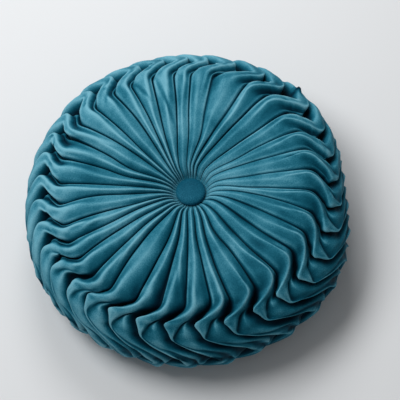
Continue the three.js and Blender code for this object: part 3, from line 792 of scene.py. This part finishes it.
def lifted_tip(angles):
    """1 at the one fold tip that stands up, falling to 0 a few millimetres away."""
    turned = np.mod(angles - TIP_ANGLE + FULL_TURN / 2, FULL_TURN) - FULL_TURN / 2
    across = np.radians(turned) * row_radius[:, None]
    tip_at = row_at[np.argmin(np.where(on_face, np.abs(row_radius - TIP_RADIUS), FAR_AWAY))]
    along = (row_at - tip_at)[:, None]
    return np.exp(-(across ** 2 + along ** 2) / TIP_REACH ** 2)


print("rise of the lifted tip, mm:", round(TIP_RISE / MM, 1))

# %% Points of the cover
ring_angles = column_angles.reshape(ROW_COUNT, -1)
ring_drops = column_drops.reshape(ROW_COUNT, -1)
ring_folds = fold_heights.reshape(ROW_COUNT, -1)


def cover_points(angles, drops):
    """Points in space from the grid's angles and drops."""
    turn = np.radians(angles)
    fall = drops - TIP_RISE * lifted_tip(angles)
    radius = row_radius[:, None] - fall * row_normal[:, :1] + bulge(angles)
    height = row_height[:, None] - fall * row_normal[:, 1:]
    shift_x, shift_y = middle_shift(row_radius[:, None])
    x = radius * np.sin(turn) + shift_x * on_face[:, None]
    y = -radius * np.cos(turn) + shift_y * on_face[:, None]
    return np.stack([x, y, height], axis=-1)


grid = cover_points(ring_angles, ring_drops)
print("highest point of the cover, mm:", round(float(grid[..., 2].max() / MM), 1))

# %% [markdown]
# ## Painted light and shade
# The cover's colour is darkened and lightened by its shape as painted light: painted shade
# deep in the creases, in the pockets and in concave bends, a painted highlight along sharp
# ridges and lips, and painted shade towards the front right, the side away from the lamps,
# which grows towards the rim, with a small painted lift at the back left. Each point of the
# mesh keeps a value of about 0 to 1 for all this, which the material reads.

# %% How much a fold bends
TINY = 1e-12
SHORT_STEP = 0.5 * MM


def ring_slopes(grid):
    """Differences across the columns and along the rows of a grid of vectors."""
    across = np.roll(grid, -1, axis=1) - np.roll(grid, 1, axis=1)
    return across, np.gradient(grid, axis=0)


def convexity(grid):
    """How strongly the cloth bulges at each point of the grid, in 1 over metres."""
    across, along = ring_slopes(grid)
    normals = np.cross(along, across)
    normals /= np.linalg.norm(normals, axis=-1, keepdims=True) + TINY
    bent_across, bent_along = ring_slopes(normals)
    bends = [
        np.sum(bent * step, axis=-1) / (np.sum(step * step, axis=-1) + SHORT_STEP ** 2)
        for bent, step in ((bent_across, across), (bent_along, along))
    ]
    return bends[0] + bends[1]


fold_bends = convexity(grid)
print("sharpest bend, 1 over metres:", round(float(fold_bends.max())))

# %% Painted shade and highlight
# painted light: painted highlight along sharp convex bends, painted shade in concave bends and deep in the
# pockets
FULL_BEND = 240.0
BEND_SHARE = 0.5
FULL_BEND_RADIUS = 120.0 * MM
BEND_FLOOR = 0.35
BEND_LIMIT = 1.4
FLAT_PAINTED_LIGHT = 0.5
DEEP_DROP = 12.5 * MM
UNSHADED_DROP = 4.0 * MM
DEEP_SHADE_FLOOR = 0.1
# painted shade towards the front right, the side away from the lamps, and a small painted lift opposite
SIDE_SHADE_ANGLE = 60.0
SIDE_SHADE_RADIUS = 180.0 * MM
SIDE_SHADE_LIFT = 0.03
SIDE_SHADE_DEPTH = 0.16


def painted_side_shade(angles):
    """Painted shade towards the front right, the side away from the lamps, growing towards the rim, with a
    small painted lift at the back left.
    """
    against = (1 + np.cos(np.radians(angles - SIDE_SHADE_ANGLE))) / 2
    outwards = (row_radius[:, None] / SIDE_SHADE_RADIUS) ** 2
    return (SIDE_SHADE_LIFT - SIDE_SHADE_DEPTH * against ** 2) * outwards


def painted_light_values():
    """Painted light values: painted shade down to 0 deep in a valley, 1 on a flat, more as a painted
    highlight along a sharp fold.
    """
    nearness = np.clip(row_radius / FULL_BEND_RADIUS, BEND_FLOOR, BEND_LIMIT)[:, None]
    bend = np.clip(fold_bends / FULL_BEND * nearness, -1.0, 1.0)
    # painted shade low in each fold and in concave bends, painted highlight along sharp convex bends
    height = ring_folds * (1 - BEND_SHARE) + BEND_SHARE * (FLAT_PAINTED_LIGHT + FLAT_PAINTED_LIGHT * bend)
    # painted shade towards the front right
    height += painted_side_shade(ring_angles)
    unshaded_share = 1 - eased(UNSHADED_DROP, DEEP_DROP, ring_drops)
    # painted shade deep in the pockets, and the lifted tip's painted shade
    return height * (DEEP_SHADE_FLOOR + (1 - DEEP_SHADE_FLOOR) * unshaded_share) * (1 - lifted_tip(ring_angles))


cover_painted_light = painted_light_values()
print("mean painted light:", round(float(cover_painted_light.mean()), 2))


# %% Build the cover
def store_tone_and_painted_light(made, values):
    """Keep the colour values on the points of a piece: painted light on the cover, its own tone on a button.
    """
    attribute = made.data.attributes.new("fold", "FLOAT", "POINT")
    attribute.data.foreach_set("value", np.asarray(values, np.float32))


def build_cover():
    """The velvet cover as one closed mesh."""
    ring_size = grid.shape[1]
    points = grid.reshape(-1, 3)
    top_middle = grid[0].mean(axis=0).tolist()
    back_middle = [0.0, 0.0, grid[-1, :, 2].mean()]
    points = np.concatenate([points, [top_middle, back_middle]])
    top, back = len(points) - 2, len(points) - 1
    step = np.arange(ring_size)
    following = (step + 1) % ring_size
    last = (ROW_COUNT - 1) * ring_size
    faces = [tuple(quad) for quad in ring_faces(ROW_COUNT, ring_size)]
    faces += [(top, a, b) for a, b in zip(step, following)]
    faces += [(back, last + b, last + a) for a, b in zip(step, following)]
    made = mesh_object("velvet_cover", points.tolist(), faces)
    store_tone_and_painted_light(made, [*cover_painted_light.ravel(), FLAT_PAINTED_LIGHT, FLAT_PAINTED_LIGHT])
    return made


cover = build_cover()
print("cover faces:", len(cover.data.polygons))

# %% [markdown]
# ## Buttons
# A covered button is a metal shell with velvet stretched over it. Each is a domed disc that
# fills the height of its node's box. The one on the face measures a little less across than
# the shell, and it sits where the pleats meet.

# %% Shape of a button
BUTTON_PILE = 0.6
BUTTON_SIDES = 64
FACE_BUTTON_RADIUS = 17.8 * MM
BUTTON_OUTLINE = [
    # share of the radius, share of the height
    (0.79, 0.0),
    (0.93, 0.08),
    (0.99, 0.24),
    (1.0, 0.42),
    (0.97, 0.6),
    (0.88, 0.77),
    (0.7, 0.9),
    (0.45, 0.97),
    (0.2, 0.995),
]
print("rings of a button:", len(BUTTON_OUTLINE))


# %% Build the buttons
def button_points(middle, radius, foot, rise):
    """The rings of a button, then the middle of its foot and of its dome."""
    turn = np.linspace(0, 2 * math.pi, BUTTON_SIDES, endpoint=False)
    points = []
    for share, lift in BUTTON_OUTLINE:
        for angle in turn:
            x = middle[0] + share * radius * math.cos(angle)
            y = middle[1] + share * radius * math.sin(angle)
            points.append((x, y, foot + lift * rise))
    return [*points, (*middle, foot), (*middle, foot + rise)]


def button_faces():
    """Faces between the rings, and fans that close the foot and the dome."""
    faces = []
    for ring in range(len(BUTTON_OUTLINE) - 1):
        for side in range(BUTTON_SIDES):
            here = ring * BUTTON_SIDES + side
            beside = ring * BUTTON_SIDES + (side + 1) % BUTTON_SIDES
            faces.append((here, beside, beside + BUTTON_SIDES, here + BUTTON_SIDES))
    last = (len(BUTTON_OUTLINE) - 1) * BUTTON_SIDES
    foot_middle = last + BUTTON_SIDES
    for side in range(BUTTON_SIDES):
        beside = (side + 1) % BUTTON_SIDES
        faces.append((foot_middle, beside, side))
        faces.append((foot_middle + 1, last + side, last + beside))
    return faces


def build_button(name, node, faces_up):
    """A domed button in its node's box, with the dome up or down."""
    low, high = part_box(node)
    thickness = high.z - low.z
    faces = button_faces()
    if faces_up:
        points = button_points(BUTTON_SHIFT, FACE_BUTTON_RADIUS, low.z, thickness)
    else:
        points = button_points((0.0, 0.0), (high.x - low.x) / 2, high.z, -thickness)
        faces = [tuple(reversed(face)) for face in faces]
    made = mesh_object(name, points, faces)
    store_tone_and_painted_light(made, np.full(len(points), BUTTON_PILE))
    return made


button_face = build_button("button_face", "button_top", True)
button_rear = build_button("button_rear", "button_back", False)
print("button faces:", len(button_face.data.polygons), len(button_rear.data.polygons))

# %% [markdown]
# ## Velvet
# Velvet is a short dense pile. Its colour here is deepened by painted shade in the folds and
# paled by a painted highlight over the ridges, and light that grazes the tips of the pile gives a
# pale sheen. One node group mixes the colour from each point's painted light value, which follows
# how high it stands in its fold, and from two noises in object coordinates: broad patches where
# a hand has brushed the pile, and a fine grain. A third noise roughens the cloth a little
# through a bump node.


# %% Node helpers
def new_group(name, inputs, outputs):
    """A node group with its sockets, and its first and last node."""
    group = bpy.data.node_groups.new(name, "ShaderNodeTree")
    for title, kind, value in inputs:
        socket = group.interface.new_socket(name=title, in_out="INPUT", socket_type=kind)
        if value is not None:
            socket.default_value = value
    for title, kind in outputs:
        group.interface.new_socket(name=title, in_out="OUTPUT", socket_type=kind)
    start = group.nodes.new("NodeGroupInput")
    end = group.nodes.new("NodeGroupOutput")
    return group, start, end


def noise_node(tree, vector, scale, detail, roughness):
    """A noise texture on the given coordinates."""
    noise = tree.nodes.new("ShaderNodeTexNoise")
    noise.inputs["Scale"].default_value = scale
    noise.inputs["Detail"].default_value = detail
    noise.inputs["Roughness"].default_value = roughness
    tree.links.new(vector, noise.inputs["Vector"])
    return noise.outputs["Fac"]


def scalar(tree, operation, first, second):
    """One sum on two values, each a socket or a number."""
    node = tree.nodes.new("ShaderNodeMath")
    node.operation = operation
    for value, socket in zip((first, second), node.inputs):
        if isinstance(value, (int, float)):
            socket.default_value = value
        else:
            tree.links.new(value, socket)
    return node.outputs[0]


# %% Velvet colour and painted light group
# painted light value and its colour there: painted shade at the low end, the velvet's own teal near the
# middle, a pale painted highlight at the top
VELVET_AND_PAINTED_LIGHT_STEPS = [
    (0.0, (0.0, 0.004, 0.009, 1.0)),
    (0.35, (0.0003, 0.022, 0.042, 1.0)),
    (0.62, (0.003, 0.088, 0.140, 1.0)),
    (0.8, (0.030, 0.20, 0.285, 1.0)),
    (1.0, (0.17, 0.42, 0.52, 1.0)),
]
NOISE_MIDDLE = 0.5
PATCH_SHARE = 0.5
GRAIN_SHARE = 0.35
# scale, detail and roughness of the noises
PATCH_NOISE = (22.0, 3.0, 0.55)
GRAIN_NOISE = (900.0, 2.0, 0.6)
BUMP_NOISE = (700.0, 2.0, 0.5)


def velvet_and_painted_light_group():
    """Painted light value and position in, velvet colour with painted shade and highlight out."""
    group, start, end = new_group(
        "pile colour",
        [("Fold", "NodeSocketFloat", 1.0), ("Place", "NodeSocketVector", None)],
        [("Colour", "NodeSocketColor")],
    )
    ramp = group.nodes.new("ShaderNodeValToRGB")
    ramp.color_ramp.interpolation = "B_SPLINE"
    first, last = ramp.color_ramp.elements
    first.position, first.color = VELVET_AND_PAINTED_LIGHT_STEPS[0]
    last.position, last.color = VELVET_AND_PAINTED_LIGHT_STEPS[-1]
    for position, colour in VELVET_AND_PAINTED_LIGHT_STEPS[1:-1]:
        ramp.color_ramp.elements.new(position).color = colour
    patches = noise_node(group, start.outputs["Place"], *PATCH_NOISE)
    grain = noise_node(group, start.outputs["Place"], *GRAIN_NOISE)
    brushed = scalar(group, "MULTIPLY", scalar(group, "SUBTRACT", patches, NOISE_MIDDLE), PATCH_SHARE)
    grained = scalar(group, "MULTIPLY", scalar(group, "SUBTRACT", grain, NOISE_MIDDLE), GRAIN_SHARE)
    raised = scalar(group, "ADD", scalar(group, "ADD", start.outputs["Fold"], brushed), grained)
    group.links.new(raised, ramp.inputs["Fac"])
    group.links.new(ramp.outputs["Color"], end.inputs["Colour"])
    return group


velvet_and_painted_light_colour = velvet_and_painted_light_group()
print("pile colour nodes:", len(velvet_and_painted_light_colour.nodes))

# %% Velvet material
PILE_ROUGHNESS = 0.55
PILE_SPECULAR = 0.03
SHEEN_ROUGHNESS = 0.35
SHEEN_TINT = (0.3, 0.85, 1.0, 1.0)
PILE_BUMP = 0.4 * MM
BUMP_STRENGTH = 0.6
# sockets of a colour mix, by number because their names repeat
MIX_FIRST = 6
MIX_SECOND = 7
MIX_RESULT = 2
COVER_SHADE = (1.0, 1.0, 1.0)
COVER_SHEEN = 0.06
BUTTON_SHADE = (0.9, 0.9, 0.95)
BUTTON_SHEEN = 0.03


def velvet_material(name, shade, sheen):
    """A velvet: the colour group's colour, with painted shade and highlight on the cover, times a shade,
    with sheen and a fine bump.
    """
    material = bpy.data.materials.new(name)
    material.use_nodes = True
    tree = material.node_tree
    shader = tree.nodes["Principled BSDF"]
    shader.inputs["Roughness"].default_value = PILE_ROUGHNESS
    shader.inputs["Specular IOR Level"].default_value = PILE_SPECULAR
    shader.inputs["Sheen Weight"].default_value = sheen
    shader.inputs["Sheen Roughness"].default_value = SHEEN_ROUGHNESS
    shader.inputs["Sheen Tint"].default_value = SHEEN_TINT
    # The fold attribute holds the painted light values: painted shade and painted highlight on the cover.
    fold = tree.nodes.new("ShaderNodeAttribute")
    fold.attribute_name = "fold"
    place = tree.nodes.new("ShaderNodeTexCoord")
    pile = tree.nodes.new("ShaderNodeGroup")
    pile.node_tree = velvet_and_painted_light_colour
    tree.links.new(fold.outputs["Fac"], pile.inputs["Fold"])
    tree.links.new(place.outputs["Object"], pile.inputs["Place"])
    tinted = tree.nodes.new("ShaderNodeMix")
    tinted.data_type = "RGBA"
    tinted.blend_type = "MULTIPLY"
    tinted.inputs["Factor"].default_value = 1.0
    tinted.inputs[MIX_SECOND].default_value = (*shade, 1.0)
    tree.links.new(pile.outputs["Colour"], tinted.inputs[MIX_FIRST])
    tree.links.new(tinted.outputs[MIX_RESULT], shader.inputs["Base Color"])
    bump = tree.nodes.new("ShaderNodeBump")
    bump.inputs["Distance"].default_value = PILE_BUMP
    bump.inputs["Strength"].default_value = BUMP_STRENGTH
    rough = noise_node(tree, place.outputs["Object"], *BUMP_NOISE)
    tree.links.new(rough, bump.inputs["Height"])
    tree.links.new(bump.outputs["Normal"], shader.inputs["Normal"])
    return material


velvet = velvet_material("velvet", COVER_SHADE, COVER_SHEEN)
button_velvet = velvet_material("button_velvet", BUTTON_SHADE, BUTTON_SHEEN)
cover.data.materials.append(velvet)
button_face.data.materials.append(button_velvet)
button_rear.data.materials.append(button_velvet)
print("materials:", velvet.name, button_velvet.name)

# %% [markdown]
# ## Floor
# The photo's floor is a plain pale sheet that runs out of the picture, so a large flat square
# under the cushion is enough.

# %% Floor
FLOOR_HALF = 4.0
FLOOR_COLOUR = (0.72, 0.735, 0.75, 1.0)
FLOOR_ROUGHNESS = 0.9
FLOOR_CORNERS = [(-1, -1), (1, -1), (1, 1), (-1, 1)]


def build_floor():
    """A flat square at the height of the frame's floor."""
    points = [(x * FLOOR_HALF, y * FLOOR_HALF, 0) for x, y in FLOOR_CORNERS]
    made = mesh_object("floor", points, [(0, 1, 2, 3)])
    material = bpy.data.materials.new("floor")
    material.use_nodes = True
    shader = material.node_tree.nodes["Principled BSDF"]
    shader.inputs["Base Color"].default_value = FLOOR_COLOUR
    shader.inputs["Roughness"].default_value = FLOOR_ROUGHNESS
    made.data.materials.append(material)
    return made


floor = build_floor()
print("floor, m across:", 2 * FLOOR_HALF)

# %% [markdown]
# ## Light
# The photo's light is soft studio light. A broad lamp high at the back left throws the shadow
# to the front right, a smaller one behind the cushion brightens its far edge, and an even
# white world fills the shadows.

# %% Light
LIGHT_TARGET = (0.0, 0.0, 0.05)
LAMPS = [
    # name, place in metres, width in metres, power in watts
    ("key", (-1.0, 0.42, 2.12), 1.3, 35.0),
    ("window", (0.0, 0.95, 1.15), 0.7, 7.8),
]
WORLD_COLOUR = (1.0, 1.0, 1.0, 1.0)
WORLD_STRENGTH = 0.235


def add_lamp(name, place, width, power):
    """A round soft lamp that points at the cushion."""
    data = bpy.data.lights.new(name, "AREA")
    data.shape = "DISK"
    data.size = width
    data.energy = power
    lamp = bpy.data.objects.new(name, data)
    lamp.location = place
    lamp.rotation_mode = "QUATERNION"
    towards = Vector(LIGHT_TARGET) - Vector(place)
    lamp.rotation_quaternion = towards.to_track_quat("-Z", "Y")
    bpy.context.scene.collection.objects.link(lamp)


def light_world():
    """An even white world, and colours shown as they are."""
    world = bpy.data.worlds.new("world")
    bpy.context.scene.world = world
    world.use_nodes = True
    background = world.node_tree.nodes["Background"]
    background.inputs["Color"].default_value = WORLD_COLOUR
    background.inputs["Strength"].default_value = WORLD_STRENGTH
    bpy.context.scene.view_settings.view_transform = "Standard"


for lamp_row in LAMPS:
    add_lamp(*lamp_row)
light_world()
print("lamps:", len(LAMPS))

# %% [markdown]
# ## Into the frame
# Every piece is tied to the cushion's one body and takes the place of its node in the packed
# model. The floor is only there for the picture.

# %% Ride and replace
for piece, node, slot in (
    (cover, "cushion", "velvet"),
    (button_face, "button_top", "button_cloth"),
    (button_rear, "button_back", "button_cloth"),
):
    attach(piece, "root")
    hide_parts(node)
